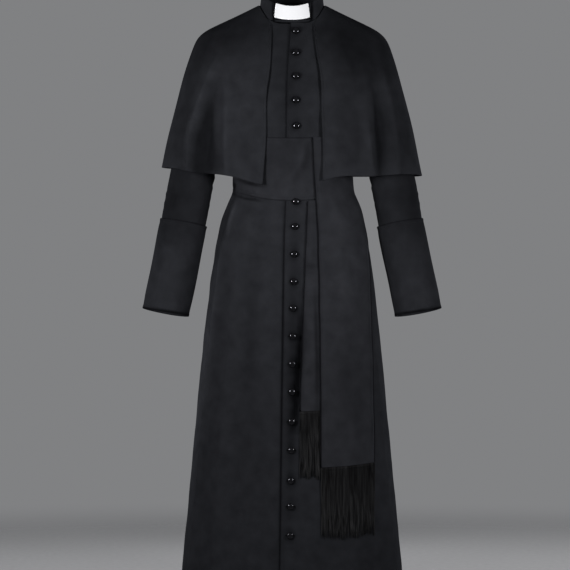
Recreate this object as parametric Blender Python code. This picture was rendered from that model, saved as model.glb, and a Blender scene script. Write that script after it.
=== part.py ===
"""Roman cassock with an open shoulder cape and a fringed sash, as it hangs when worn.

Metres, +Z up. The front faces -Y and the wearer's left is +X. The origin is the middle of the neck, level
with the point where the shoulder seams meet the collar. Every piece of cloth is a closed wall made from a
surface function: a round section is given by an angle phi, 0 at the front centre, 90 degrees at the wearer's
left, 180 at the back.
"""
import math

import bmesh
import bpy
from mathutils import Vector

# ---- driving dimensions ----
WALL = 0.0022            # cloth with its interlining
SEAM = 0.0004            # parting between two sewn pieces, taken off each of them
LAY = 0.0009             # gap under a piece that lies on another
STEP_OUT = WALL + LAY    # how far one layer moves the next one out
NECK_HALF = 0.0775
NECK_FRONT = 0.068
NECK_BACK = 0.060
NECK_PIT = -0.0458       # height of the neckline at the front centre
NECK_NAPE = 0.014        # and at the back centre
NECK_LEVEL = 0.587       # share of the fall from side to front at which the neckline runs level
COLLAR_LIFT = 0.0020     # collar seam above the neckline of the panels
SHOULDER = Vector((0.198, 0.0, -0.0595))
SIDE_SEAM = 62.0         # phi of the seam between front and side panel
BACK_SEAM = 118.0        # phi of the seam between side and back panel
YOKE_ROWS = 6            # rows of cells between the chest and the top edge
NECK_SHARE = 0.5         # share of a panel's top edge that is neckline, the rest is shoulder seam
SHOULDER_HOLLOW = 0.003  # how far the shoulder seam dips between its ends
COLLAR_TOP = (0.0730, 0.0635, 0.0565)    # half width, front and back depth of the collar's top edge
COLLAR_HEIGHTS = (-0.0037, 0.0385, 0.0520)   # its height at front, side and back
COLLAR_REACH = 0.55      # how soon the top edge falls from the side to the front
TAB_WALL = 0.0016
TAB_PLAY = 0.5           # degrees between the tab and each side of its window
TAB_DROP = 0.012         # parting under the tab, as a share of the collar's height
BUTTON_RADIUS = 0.0073
BUTTON_DEPTH = 0.0036    # half the thickness
BUTTON_GAP = 0.0001      # from the back of a button to the cloth's outer skin
BUTTON_FROM_EDGE = 0.0240
STRANDS = 36             # on each tail
STRAND_SWAY = 0.0010
STRAND_UNEVEN = 0.004    # how much longer or shorter a strand may be
STRIP_HEIGHT = 0.006
SASH_SWELL = 0.0006      # the sash stands out a little at its middle height

# Handles of the curves that bound the yoke, as x, y away from the body and z, from the lower and upper end.
ARMHOLE_LOW = (-0.004, 0.004, 0.062)
ARMHOLE_HIGH = (-0.010, 0.046, -0.004)
CENTRE_LOW = (0.0, 0.003, 0.085)
CENTRE_HIGH = (0.0, 0.026, -0.040)

# One row for each section of the body, from the chest to the hem. Heights at front, side and back, then the
# half width, the depth in front of the side line and behind it, and the fullness of the superellipse.
BODY = [
    # name,    z_front, z_side, z_back, half,   front,  back,   power
    ("chest", -0.232, -0.235, -0.232, 0.1570, 0.1260, 0.1180, 2.3),
    ("ribs", -0.275, -0.272, -0.268, 0.1530, 0.1255, 0.1130, 2.3),
    ("sash_top", -0.320, -0.308, -0.300, 0.1450, 0.1200, 0.1040, 2.3),
    ("waist", -0.395, -0.376, -0.366, 0.1392, 0.1140, 0.0980, 2.3),
    ("sash_low", -0.4685, -0.4425, -0.434, 0.1398, 0.1130, 0.1010, 2.3),
    ("flare", -0.483, -0.4610, -0.453, 0.1512, 0.1170, 0.1150, 2.35),
    ("hip", -0.509, -0.4960, -0.490, 0.1655, 0.1230, 0.1310, 2.4),
    ("seat", -0.548, -0.5420, -0.538, 0.1785, 0.1290, 0.1430, 2.45),
    ("low_seat", -0.596, -0.5900, -0.588, 0.1875, 0.1340, 0.1510, 2.5),
    ("thigh", -0.690, -0.6860, -0.684, 0.2005, 0.1430, 0.1630, 2.5),
    ("knee", -0.816, -0.8130, -0.812, 0.2150, 0.1540, 0.1770, 2.5),
    ("calf", -0.990, -0.9890, -0.989, 0.2318, 0.1680, 0.1950, 2.5),
    ("shin", -1.200, -1.2000, -1.200, 0.2515, 0.1840, 0.2130, 2.5),
    ("hem", -1.411, -1.4110, -1.411, 0.2720, 0.2000, 0.2320, 2.5),
]
SASH_TOP, SASH_LOW = 2, 4
SASH_EASE = 9.0          # degrees in which the sash comes down from the overlapping front
LAST = len(BODY) - 1

# The edge of the overlapping front, as x at a body row; the line leans to the wearer's right as it falls.
LAP_EDGE = [
    # row, x
    (-1.0, -0.0150),
    (0.0, -0.0135),
    (4.0, -0.0150),
    (8.0, -0.0190),
    (11.0, -0.0250),
    (13.0, -0.0310),
]
LAP_UNDER = 6.5          # phi of the hidden edge of the other front
LAP_COLUMN = 0.2         # share of the front's width that stands out over the other one
YOKE_LAP = 0.6           # extra share of the lap's height at the neck

# Soft folds of the skirt. Angles at waist and hem, half width in degrees, outward height at the hem.
FOLDS = [
    # name,          phi_top, phi_hem, spread, height
    ("left_front",     32.0,   30.0,   11.0,  0.0060),
    ("left_side",      66.0,   62.0,    7.0,  0.0070),
    ("right_inner",   -16.0,  -20.0,    8.0,  0.0040),
    ("right_front",   -38.0,  -40.0,   10.0,  0.0060),
    ("right_side",    -66.0,  -62.0,    7.0,  0.0080),
    ("side_left",      97.0,   98.0,    9.0,  0.0070),
    ("side_right",    -97.0,  -98.0,    9.0,  0.0070),
]
BACK_PLEATS = 4          # knife pleats on each half of the back
PLEAT_HEIGHT = 0.009

# One row for each level of the cape's outer skin, from the collar to the hem.
CAPE = [
    # name,   half,   z_side,  front,  z_front, back,   z_back, power, edge_left, edge_right
    ("neck", 0.0798, 0.0038, 0.0776, -0.0495, 0.0623, 0.0175, 2.00, 0.0495, -0.0490),
    ("yoke", 0.1150, -0.0140, 0.0905, -0.0680, 0.0850, -0.0080, 2.05, 0.0520, -0.0500),
    ("slope", 0.1500, -0.0310, 0.1050, -0.1000, 0.1010, -0.0420, 2.10, 0.0545, -0.0508),
    ("ridge", 0.1830, -0.0465, 0.1145, -0.1320, 0.1140, -0.0820, 2.15, 0.0570, -0.0515),
    ("tip", 0.2110, -0.0610, 0.1205, -0.1640, 0.1220, -0.1170, 2.20, 0.0605, -0.0530),
    ("turn", 0.2290, -0.0790, 0.1235, -0.1920, 0.1260, -0.1470, 2.25, 0.0625, -0.0560),
    ("upper", 0.2395, -0.1060, 0.1255, -0.2200, 0.1290, -0.1850, 2.30, 0.0630, -0.0600),
    ("arm", 0.2606, -0.1700, 0.1280, -0.2700, 0.1330, -0.2500, 2.35, 0.0635, -0.0620),
    ("mid", 0.2870, -0.2850, 0.1300, -0.3450, 0.1380, -0.3250, 2.40, 0.0690, -0.0618),
    ("hem", 0.3127, -0.3950, 0.1330, -0.4265, 0.1450, -0.4000, 2.45, 0.0705, -0.0615),
]
CAPE_HEM_REACH = 3.0     # how far the level part of the side hem runs to the front and back
CAPE_LEVEL_ROWS = 2.5    # levels over which the level front of the neckline runs out
CAPE_LEAN = 0.010        # the hem hangs lower at the wearer's left by twice this
CAPE_FLUTE_START = 4.2   # level where the flutes begin
# Flutes of the cape: angle where they begin and at the hem, half width in degrees, outward height at the hem.
CAPE_FLUTES = [
    # name,            phi_top, phi_hem, spread, height
    ("left_soft",        34.0,    25.0,    7.0,  -0.0040),
    ("left_rib",         46.0,    33.0,    6.0,   0.0050),
    ("left_hollow",      56.0,    40.0,    7.0,  -0.0120),
    ("left_outer",       66.0,    50.0,    7.0,   0.0070),
    ("right_inner",     -38.0,   -27.0,    6.0,   0.0050),
    ("right_hollow",    -54.0,   -37.0,    8.0,  -0.0160),
    ("right_rib",       -65.0,   -48.0,    7.0,   0.0100),
    ("back_left",       118.0,   124.0,    9.0,  -0.0140),
    ("back_rib_left",   134.0,   140.0,    8.0,   0.0080),
    ("back_mid_left",   156.0,   162.0,    9.0,  -0.0080),
    ("back_mid_right", -160.0,  -166.0,   10.0,   0.0080),
    ("back_rib_right", -138.0,  -144.0,    9.0,  -0.0060),
    ("back_right",     -116.0,  -121.0,    9.0,  -0.0140),
]
CAPE_COLUMNS = 16        # columns of each front of the cape

# One row for each ring of the sleeve below the armhole: the outer and inner point in the X-Z plane, the half
# depth, the forward shift of the ring's middle and how far its front stands above its ends.
SLEEVE = [
    # name,    outer_x, outer_z, inner_x, inner_z, depth,  forward, bow
    ("crown", 0.2170, -0.0770, 0.1605, -0.2520, 0.0680, 0.000, 0.000),
    ("cap", 0.2325, -0.1040, 0.1645, -0.2740, 0.0670, 0.000, 0.000),
    ("biceps", 0.2460, -0.1680, 0.1700, -0.3150, 0.0650, 0.001, 0.000),
    ("arm", 0.2680, -0.2750, 0.1765, -0.3560, 0.0620, 0.002, 0.000),
    ("elbow", 0.2934, -0.3950, 0.1830, -0.4070, 0.0600, 0.005, 0.000),
    ("forearm", 0.3080, -0.4700, 0.1965, -0.4830, 0.0590, 0.009, 0.002),
    ("cuff_top", 0.3125, -0.5080, 0.2050, -0.5280, 0.0580, 0.012, 0.004),
    ("cuff_mid", 0.3350, -0.6200, 0.2265, -0.6360, 0.0570, 0.020, 0.000),
    ("wrist", 0.3535, -0.7220, 0.2490, -0.7420, 0.0565, 0.028, -0.004),
]
ARMHOLE_GAP = 0.0009     # parting between sleeve and body round the armhole
CUFF_FIRST = 7           # ring index of the cuff's top edge, counting the armhole as 0
ARMHOLE_SIDE_COLUMNS = 4

# The two tails of the sash: x of the leading edge at a body row, and the row where the cloth ends.
TAIL_WIDTH = 0.136
TAIL_SLOPE = 0.048       # share of a row by which the end rises from the leading to the trailing edge
OUTER_TAIL = [
    # row, x, stand-off from the body line
    (2.0, 0.0460, 0.0078),
    (3.0, 0.0490, 0.0078),
    (4.0, 0.0530, 0.0078),
    (5.0, 0.0550, 0.0088),
    (6.0, 0.0570, 0.0088),
    (7.0, 0.0590, 0.0088),
    (8.0, 0.0600, 0.0088),
    (9.0, 0.0620, 0.0088),
    (10.0, 0.0640, 0.0088),
    (11.0, 0.0655, 0.0086),
    (11.5, 0.0655, 0.0085),
]
INNER_TAIL = [
    # row, x, stand-off from the body line
    (4.12, 0.0345, 0.0040),
    (5.0, 0.0345, 0.0042),
    (6.0, 0.0340, 0.0046),
    (7.0, 0.0325, 0.0048),
    (8.0, 0.0300, 0.0048),
    (9.0, 0.0270, 0.0046),
    (10.0, 0.0220, 0.0044),
    (10.85, 0.0170, 0.0042),
]

# Heights of the buttons down the front line; the sash hides the place of three more.
BUTTONS = [-0.066, -0.119, -0.175, -0.231, -0.291, -0.4720, -0.530, -0.595, -0.660, -0.722,
           -0.788, -0.853, -0.918, -0.9875, -1.0545, -1.1255, -1.1855, -1.253]
SASH_BUTTON = 5          # this one stands on the lower edge of the sash

TAB_ANGLE = 36.0         # half angle of the collar window
TAB_BASE = 0.14          # the window starts at this share of the collar's height

TAILS = [
    # tail,       fringe,         table,      strand length, phase of the sway
    ("tail_outer", "fringe_outer", OUTER_TAIL, 0.160, 0.4),
    ("tail_inner", "fringe_inner", INNER_TAIL, 0.154, 1.9),
]

CLOTH = ("black_wool", (0.020, 0.021, 0.024), 0.72)
SASH = ("black_sash", (0.024, 0.025, 0.028), 0.62)
FRINGE = ("black_fringe", (0.012, 0.012, 0.013), 0.85)
GLOSS = ("black_button", (0.006, 0.006, 0.007), 0.12)
WHITE = ("white_tab", (0.80, 0.80, 0.82), 0.45)


# ---- small mathematics ----
def lerp(a, b, t):
    return a + (b - a) * t


def smooth(t):
    t = min(1.0, max(0.0, t))
    return t * t * (3.0 - 2.0 * t)


def read_table(table, key, column):
    """Value of a column at a key that may lie between two rows."""
    for low, high in zip(table, table[1:]):
        if key <= high[0]:
            t = (key - low[0]) / (high[0] - low[0])
            return lerp(low[column], high[column], max(0.0, t))
    return table[-1][column]


def read_row(table, level):
    """All the number columns of a section table at a level between two rows."""
    index = min(len(table) - 2, max(0, int(math.floor(level))))
    t = level - index
    return [lerp(a, b, t) for a, b in zip(table[index][1:], table[index + 1][1:])]


def bump(distance, spread):
    """Soft hump, 1 at the middle and 0 from one spread away."""
    if abs(distance) >= spread:
        return 0.0
    return 0.5 + 0.5 * math.cos(math.pi * distance / spread)


def bezier(a, b, c, d, t):
    u = 1.0 - t
    return a * u ** 3 + b * (3 * u * u * t) + c * (3 * u * t * t) + d * t ** 3


def section(phi, half, front, back, power, heights, reach=1.0, flat=0.0):
    """Point of a superellipse at phi degrees, its height shared out between front, side and back.

    A greater reach keeps the side height further round towards the front and back. With flat at 1
    the front runs level between the corners of the collar window.
    """
    sine, cosine = math.sin(math.radians(phi)), math.cos(math.radians(phi))
    depth = front if cosine > 0 else back
    x = half * math.copysign(abs(sine) ** (2.0 / power), sine)
    y = -depth * math.copysign(abs(cosine) ** (2.0 / power), cosine)
    z_front, z_side, z_back = heights
    fall = abs(cosine) ** (2.0 * reach)
    if cosine > 0:
        steep = fall / NECK_LEVEL
        fall = lerp(fall, steep / (1.0 + steep ** 6) ** (1.0 / 6.0), flat)
    return Vector((x, y, z_side + ((z_front if cosine > 0 else z_back) - z_side) * fall))


def section_normal(phi, half, front, back, power, heights):
    """Outward horizontal direction of a section."""
    step = 0.5
    ahead = section(phi + step, half, front, back, power, heights)
    behind = section(phi - step, half, front, back, power, heights)
    along = ahead - behind
    return Vector((along.y, -along.x, 0.0)).normalized()


# ---- the body ----
def body_row(level):
    z_front, z_side, z_back, half, front, back, power = read_row(BODY, level)
    return half, front, back, power, (z_front, z_side, z_back)


def phi_at_x(level, x):
    """Front angle at which the body section has this x."""
    half, _, _, power, _ = body_row(max(0.0, level))
    return math.degrees(math.asin((abs(x) / half) ** (power / 2.0))) * math.copysign(1.0, x)


def skirt_share(level):
    """0 at the sash and 1 at the hem."""
    return smooth((level - SASH_LOW) / 3.5) * (0.45 + 0.55 * min(1.0, (level - SASH_LOW) / (LAST - SASH_LOW)))


def pleat(phi):
    """Saw form of the knife pleats at the back, 0 to 1, turned away from the centre seam."""
    reach = (abs(phi) - BACK_SEAM) / (180.0 - BACK_SEAM) * BACK_PLEATS
    if reach <= 0.0:
        return 0.0
    share = reach - math.floor(reach)
    return share / 0.67 if share <= 0.67 else (1.0 - share) / 0.33


def folds(phi, level):
    """Outward height of the skirt's folds and pleats."""
    share = skirt_share(level)
    if share <= 0.0:
        return 0.0
    fall = (level - SASH_LOW) / (LAST - SASH_LOW)
    total = PLEAT_HEIGHT * pleat(phi)
    for _, top, hem, spread, height in FOLDS:
        total += height * bump(phi - lerp(top, hem, fall), spread)
    return total * share


def lap_height(s, level):
    """How far the overlapping front stands out, at a share s of its width from its edge."""
    rise = max(0.0, -level)
    if s < -0.001:
        return 0.0
    full = lerp(LAP_COLUMN, LAP_COLUMN / 2.0, rise)
    return STEP_OUT * (1.0 + YOKE_LAP * rise) * (1.0 - smooth((s - full) / (LAP_COLUMN / 2.0)))


def lap_at_phi(phi, level):
    """The same height by angle, for what lies on the front."""
    edge = lap_edge_phi(level)
    return lap_height((phi - edge) / (SIDE_SEAM - edge), level)


def body_point(phi, level, out=0.0):
    """Point of the garment's outer skin from the chest down, moved out."""
    phi = (phi + 180.0) % 360.0 - 180.0
    values = body_row(level)
    normal = section_normal(phi, *values)
    return section(phi, *values) + normal * (out + folds(phi, level))


def neck_point(phi, grow=0.0, lift=0.0):
    heights = (NECK_PIT, 0.0, NECK_NAPE)
    point = section(phi, NECK_HALF + grow, NECK_FRONT + grow, NECK_BACK + grow, 2.0, heights, 1.0, 1.0)
    return point + Vector((0.0, 0.0, lift))


def armhole_edge(t, seam_phi):
    """Armhole from the side seam at the chest (t = 0) up to the shoulder tip (t = 1)."""
    start = body_point(seam_phi, 0.0)
    outward = Vector((1.0, math.copysign(1.0, start.y), 1.0))
    return bezier(start, start + outward * Vector(ARMHOLE_LOW),
                  SHOULDER + outward * Vector(ARMHOLE_HIGH), SHOULDER, t)


def centre_edge(t, phi):
    """The front or back line from the chest (t = 0) up to the neck (t = 1)."""
    start = body_point(phi, 0.0)
    end = neck_point(phi)
    outward = Vector((1.0, math.copysign(1.0, start.y), 1.0))
    return bezier(start, start + outward * Vector(CENTRE_LOW),
                  end + outward * Vector(CENTRE_HIGH), end, t)


def shoulder_line(t):
    """The shoulder seam from the collar to the tip, a little hollow."""
    point = neck_point(90.0).lerp(SHOULDER, t)
    return point - Vector((0.0, 0.0, SHOULDER_HOLLOW * math.sin(math.pi * t)))


def top_edge(s, edge_phi):
    """Neckline and then shoulder seam, from the centre (s = 0) to the shoulder tip (s = 1)."""
    if s <= NECK_SHARE:
        return neck_point(lerp(edge_phi, 90.0, s / NECK_SHARE))
    return shoulder_line((s - NECK_SHARE) / (1.0 - NECK_SHARE))


def yoke_point(s, t, edge_phi, seam_phi):
    """Patch between chest, centre line, armhole and top edge, on the wearer's left."""
    low = body_point(lerp(edge_phi, seam_phi, s), 0.0)
    top = top_edge(s, edge_phi)
    inner = centre_edge(t, edge_phi) - centre_edge(0.0, edge_phi).lerp(centre_edge(1.0, edge_phi), t)
    outer = armhole_edge(t, seam_phi) - armhole_edge(0.0, seam_phi).lerp(armhole_edge(1.0, seam_phi), t)
    return low.lerp(top, t) + inner * (1.0 - s) + outer * s


def mirrored(point):
    return Vector((-point.x, point.y, point.z))


def panel_point(s, level, edge_phi, seam_phi, side):
    """Front or back panel: level -1 is the top edge, 0 the chest and LAST the hem."""
    if level >= 0.0:
        return body_point(lerp(edge_phi, seam_phi, s) * side, level)
    point = yoke_point(s, -level, edge_phi, seam_phi)
    return point if side > 0 else mirrored(point)


def lap_edge_phi(level):
    level = max(0.0, level)
    return phi_at_x(level, read_table(LAP_EDGE, level, 1))


# ---- building a wall of cloth ----
def surface_normals(function, columns, rows, crest):
    """Normals of a grid from steps to both sides, so that neighbours agree along a shared seam.

    With crest, the first row runs along the shoulder, where front and back share an upright normal.
    """
    normals = []
    for row in rows:
        line = []
        for column in columns:
            step_c, step_r = 0.02, 0.08
            low_r, high_r = max(rows[0], row - step_r), min(rows[-1], row + step_r)
            across = function(column + step_c, row) - function(column - step_c, row)
            down = function(column, high_r) - function(column, low_r)
            normal = across.cross(down)
            if crest and row == rows[0] and column >= NECK_SHARE:
                normal.y = 0.0
            line.append(normal.normalized())
        normals.append(line)
    return normals


def add_wall(name, material, outer, inner, wrap=False, keep=None):
    """Closed solid between two grids of points; keep(row, column) leaves out cells as an opening."""
    mesh = bmesh.new()
    rows, columns = len(outer), len(outer[0])
    skins = [[[mesh.verts.new(p) for p in line] for line in grid] for grid in (outer, inner)]
    spans = columns if wrap else columns - 1
    for side, skin in enumerate(skins):
        for row in range(rows - 1):
            for column in range(spans):
                if keep is not None and not keep(row, column):
                    continue
                after = (column + 1) % columns
                corners = [skin[row][column], skin[row + 1][column],
                           skin[row + 1][after], skin[row][after]]
                mesh.faces.new(corners if side == 0 else corners[::-1])
    partner = {a: b for top, low in zip(*skins) for a, b in zip(top, low)}
    rim = [edge for edge in mesh.edges if len(edge.link_faces) == 1 and edge.verts[0] in partner]
    for edge in rim:
        start, end = edge.verts
        mesh.faces.new([end, start, partner[start], partner[end]])
    loose = [vert for vert in mesh.verts if not vert.link_faces]
    bmesh.ops.delete(mesh, geom=loose, context="VERTS")
    bmesh.ops.recalc_face_normals(mesh, faces=mesh.faces)
    return finish(name, material, mesh)


def finish(name, material, mesh):
    """Turn a bmesh into a named object of the cassock with its own material."""
    bmesh.ops.triangulate(mesh, faces=mesh.faces)
    data = bpy.data.meshes.new(name)
    mesh.to_mesh(data)
    mesh.free()
    data.shade_smooth()
    data.set_sharp_from_angle(angle=math.radians(50.0))
    data.materials.append(make_material(name, *material))
    thing = bpy.data.objects.new(name, data)
    PARTS.objects.link(thing)
    return thing


def make_material(name, slot, colour, roughness):
    material = bpy.data.materials.new(f"{slot}.{name}")
    material.use_nodes = True
    shader = material.node_tree.nodes["Principled BSDF"]
    shader.inputs["Base Color"].default_value = (*colour, 1.0)
    shader.inputs["Roughness"].default_value = roughness
    material.diffuse_color = (*colour, 1.0)
    return material


def pull_in(grid, amounts):
    """Draw the edges of a grid back by amounts (left, right, top, bottom) along its own lines."""
    left, right, top, bottom = amounts
    for line in grid:
        line[0] = line[0] + (line[1] - line[0]).normalized() * left
        line[-1] = line[-1] + (line[-2] - line[-1]).normalized() * right
    grid[0] = [a + (b - a).normalized() * top for a, b in zip(grid[0], grid[1])]
    grid[-1] = [a + (b - a).normalized() * bottom for a, b in zip(grid[-1], grid[-2])]
    return grid


def cloth_wall(name, material, function, columns, rows, seams=(0, 0, 0, 0), wrap=False, keep=None,
               wall=WALL, flip=1.0, crest=False):
    """Wall whose outer skin is a function of column and row, with the inner skin one wall inside."""
    outer = [[function(column, row) for column in columns] for row in rows]
    normals = surface_normals(function, columns, rows, crest)
    inner = [[p - n * (wall * flip) for p, n in zip(*pair)] for pair in zip(outer, normals)]
    if any(seams):
        outer, inner = pull_in(outer, seams), pull_in(inner, seams)
    return add_wall(name, material, outer, inner, wrap, keep)


def spread(first, last, count):
    return [lerp(first, last, i / count) for i in range(count + 1)]


YOKE_LEVELS = [-1.0 + i / YOKE_ROWS for i in range(YOKE_ROWS)]
BODY_LEVELS = [float(i) for i in range(LAST + 1)]
FRONT_COLUMNS = spread(0.0, 1.0, 10)
BACK_COLUMNS = spread(0.0, 1.0, 3 * BACK_PLEATS)


# ---- the pieces ----
def left_front(s, level):
    """Overlapping front: the body surface, lifted over the other front near the centre."""
    point = panel_point(s, level, lap_edge_phi(level), SIDE_SEAM, 1.0)
    height = lap_height(s, level)
    if level >= 0.0:
        phi = lerp(lap_edge_phi(level), SIDE_SEAM, s)
        return point + section_normal(phi, *body_row(level)) * height
    return point + Vector((0.2 * s, -1.0, 0.65 * level * level)).normalized() * height


def right_front(s, level):
    return panel_point(s, level, -LAP_UNDER, SIDE_SEAM, -1.0)


def make_fronts():
    levels = YOKE_LEVELS + BODY_LEVELS
    cloth_wall("front_left", CLOTH, left_front, FRONT_COLUMNS, levels, (0, SEAM, SEAM, 0), flip=-1.0,
               crest=True)
    cloth_wall("front_right", CLOTH, right_front, FRONT_COLUMNS, levels, (0, SEAM, SEAM, 0), crest=True)


def make_sides():
    for name, side in (("side_left", 1.0), ("side_right", -1.0)):
        def panel(s, level, side=side):
            return body_point(lerp(SIDE_SEAM, BACK_SEAM, s) * side, level)
        cloth_wall(name, CLOTH, panel, spread(0.0, 1.0, ARMHOLE_SIDE_COLUMNS), BODY_LEVELS,
                   (SEAM, SEAM, 0, 0), flip=-side)


def make_backs():
    for name, side in (("back_left", 1.0), ("back_right", -1.0)):
        def panel(s, level, side=side):
            return panel_point(s, level, 180.0, BACK_SEAM, side)
        cloth_wall(name, CLOTH, panel, BACK_COLUMNS, YOKE_LEVELS + BODY_LEVELS, (SEAM, SEAM, SEAM, 0),
                   flip=side, crest=True)


def armhole_loop():
    """First ring of the sleeve, just off the armhole: tip, front edge, side panel, back edge."""
    off_edge = Vector((0.93, 0.0, -0.37)) * ARMHOLE_GAP
    front = [armhole_edge(1.0 - i / YOKE_ROWS, SIDE_SEAM) + off_edge for i in range(YOKE_ROWS)]
    under = [body_point(phi, 0.0, ARMHOLE_GAP) + Vector((0.0, 0.0, ARMHOLE_GAP))
             for phi in spread(SIDE_SEAM, BACK_SEAM, ARMHOLE_SIDE_COLUMNS)]
    back = [armhole_edge(i / YOKE_ROWS, BACK_SEAM) + off_edge for i in range(1, YOKE_ROWS)]
    return front + under + back


def sleeve_angles():
    """Angle round the arm of each point of the armhole loop, 0 at the outside, 90 in front."""
    under = 50.0
    front = [i * (180.0 - under) / YOKE_ROWS for i in range(YOKE_ROWS)]
    below = spread(180.0 - under, 180.0 + under, ARMHOLE_SIDE_COLUMNS)
    back = [180.0 + under + i * (180.0 - under) / YOKE_ROWS for i in range(1, YOKE_ROWS)]
    return front + below + back


def sleeve_ring(level, out=0.0):
    """Ring of the sleeve at a level of the SLEEVE table."""
    outer_x, outer_z, inner_x, inner_z, depth, forward, bow = read_row(SLEEVE, level)
    outer, inner = Vector((outer_x, 0.0, outer_z)), Vector((inner_x, 0.0, inner_z))
    middle, reach = (outer + inner) / 2.0, (outer - inner) / 2.0
    reach = reach.normalized() * (reach.length + out)
    points = []
    for angle in sleeve_angles():
        turn = math.radians(angle)
        lift = bow * max(0.0, math.sin(turn))
        points.append(middle + reach * math.cos(turn)
                      + Vector((0.0, -forward - (depth + out) * math.sin(turn), lift)))
    return points


def ring_normals(rings):
    """Outward directions at the points of a stack of closed rings."""
    normals = []
    for index, ring in enumerate(rings):
        above, below = rings[max(0, index - 1)], rings[min(len(rings) - 1, index + 1)]
        line = []
        for k in range(len(ring)):
            across = ring[(k + 1) % len(ring)] - ring[k - 1]
            down = below[k] - above[k]
            line.append(across.cross(down).normalized())
        normals.append(line)
    return normals


def tube_wall(name, material, rings, side, wall=WALL):
    """Open tube of cloth from a stack of rings, mirrored for the wearer's right."""
    normals = ring_normals(rings)
    inner = [[p - n * wall for p, n in zip(*pair)] for pair in zip(rings, normals)]
    if side < 0:
        rings, inner = ([[mirrored(p) for p in ring] for ring in grid] for grid in (rings, inner))
    return add_wall(name, material, rings, inner, wrap=True)


def make_sleeves():
    rings = [armhole_loop()] + [sleeve_ring(float(level)) for level in range(len(SLEEVE))]
    cuff_levels = [CUFF_FIRST - 1.0, CUFF_FIRST - 0.5, float(CUFF_FIRST), CUFF_FIRST + 1.0]
    rings[-1] = sleeve_ring(len(SLEEVE) - 1.02)
    cuff = [sleeve_ring(level, STEP_OUT) for level in cuff_levels]
    for name, side in (("left", 1.0), ("right", -1.0)):
        tube_wall(f"sleeve_{name}", CLOTH, rings, side)
        tube_wall(f"cuff_{name}", CLOTH, cuff, side)


def cape_point(phi, level, out=0.0):
    half, z_side, front, z_front, back, z_back, power, _, _ = read_row(CAPE, level)
    heights = (z_front, z_side, z_back)
    run = max(0.0, (level - CAPE_FLUTE_START) / (len(CAPE) - 1 - CAPE_FLUTE_START))
    height = smooth(run) * sum(tall * bump(phi - lerp(top, hem, run), wide)
                               for _, top, hem, wide, tall in CAPE_FLUTES)
    normal = section_normal(phi, half, front, back, power, heights)
    fall = level / (len(CAPE) - 1)
    flat = 1.0 - smooth(level / CAPE_LEVEL_ROWS)
    point = section(phi, half, front, back, power, heights, lerp(1.0, CAPE_HEM_REACH, fall), flat)
    lean = Vector((0.0, 0.0, -CAPE_LEAN * fall ** 3 * point.x / half))
    return point + normal * (height + out) + lean


def cape_edge_phi(level, column):
    row = read_row(CAPE, level)
    half, power, x = row[0], row[6], row[column]
    return math.degrees(math.asin((abs(x) / half) ** (power / 2.0))) * math.copysign(1.0, x)


def make_cape():
    levels = [float(i) for i in range(len(CAPE))]

    def left(s, level):
        return cape_point(lerp(cape_edge_phi(level, 7), 90.0, s), level)

    def right(s, level):
        return cape_point(lerp(cape_edge_phi(level, 8), -90.0, s), level)

    def back(s, level):
        phi = lerp(90.0, 270.0, s)
        return cape_point(phi if phi <= 180.0 else phi - 360.0, level)

    cloth_wall("cape_front_left", CLOTH, left, spread(0.0, 1.0, CAPE_COLUMNS), levels, (0, SEAM, 0, 0), flip=-1.0)
    cloth_wall("cape_front_right", CLOTH, right, spread(0.0, 1.0, CAPE_COLUMNS), levels, (0, SEAM, 0, 0))
    cloth_wall("cape_back", CLOTH, back, spread(0.0, 1.0, 2 * CAPE_COLUMNS - 6), levels, (SEAM, SEAM, 0, 0), flip=-1.0)


def collar_point(phi, t):
    """Collar from its seam (t = 0) to its top edge (t = 1); it leans in a little."""
    base = neck_point(phi, 0.0, COLLAR_LIFT)
    return base.lerp(section(phi, *COLLAR_TOP, 2.0, COLLAR_HEIGHTS, COLLAR_REACH), t)


def make_collar():
    window = spread(-TAB_ANGLE, TAB_ANGLE, 6)
    rest = spread(TAB_ANGLE, 360.0 - TAB_ANGLE, 20)[1:-1]

    def keep(row, column):
        return row == 0 or column >= len(window) - 1

    cloth_wall("collar_band", CLOTH, collar_point, window + rest, [0.0, TAB_BASE, 1.0], wrap=True, keep=keep)
    columns = spread(-TAB_ANGLE + TAB_PLAY, TAB_ANGLE - TAB_PLAY, 6)
    cloth_wall("collar_tab", WHITE, collar_point, columns, [TAB_BASE + TAB_DROP, 1.0], wall=TAB_WALL)


def make_sash():
    def skin(phi, level):
        rise = SASH_SWELL * math.sin(math.pi * (level - SASH_TOP) / (SASH_LOW - SASH_TOP))
        return body_point(phi, level, STEP_OUT + sash_lap(phi, level) + rise)

    levels = spread(float(SASH_TOP), float(SASH_LOW), 4)
    cloth_wall("sash_band", SASH, skin, sorted(set(sash_columns())), levels, wrap=True, flip=-1.0)


def sash_lap(phi, level):
    """The sash rides over the overlapping front and eases down to the other one."""
    turned = (phi + 180.0) % 360.0 - 180.0
    edge = lap_edge_phi(level)
    if turned < edge:
        return STEP_OUT * (1.0 - smooth((edge - turned) / SASH_EASE))
    return lap_at_phi(turned, level) if turned < SIDE_SEAM else 0.0


def sash_columns():
    """The body's own column angles at the waist, all round."""
    edge = lap_edge_phi(3.0)
    front = [lerp(edge, SIDE_SEAM, s) for s in FRONT_COLUMNS]
    under = [lerp(-LAP_UNDER, SIDE_SEAM, s) for s in FRONT_COLUMNS]
    right = [-phi for phi in under if -phi < edge - 3.0]
    side = spread(SIDE_SEAM, BACK_SEAM, ARMHOLE_SIDE_COLUMNS)[1:]
    back = spread(BACK_SEAM, 180.0, 6)[1:]
    turn = side + back
    return right + front + turn + [-phi for phi in turn[:-1]]


def arc_phi(level, start_phi, width):
    """Angle reached by going this far round the body section."""
    phi, gone, step = start_phi, 0.0, 1.0
    here = body_point(phi, level)
    while gone < width and phi < 130.0:
        there = body_point(phi + step, level)
        gone += (there - here).length
        phi, here = phi + step, there
    return phi


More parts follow.
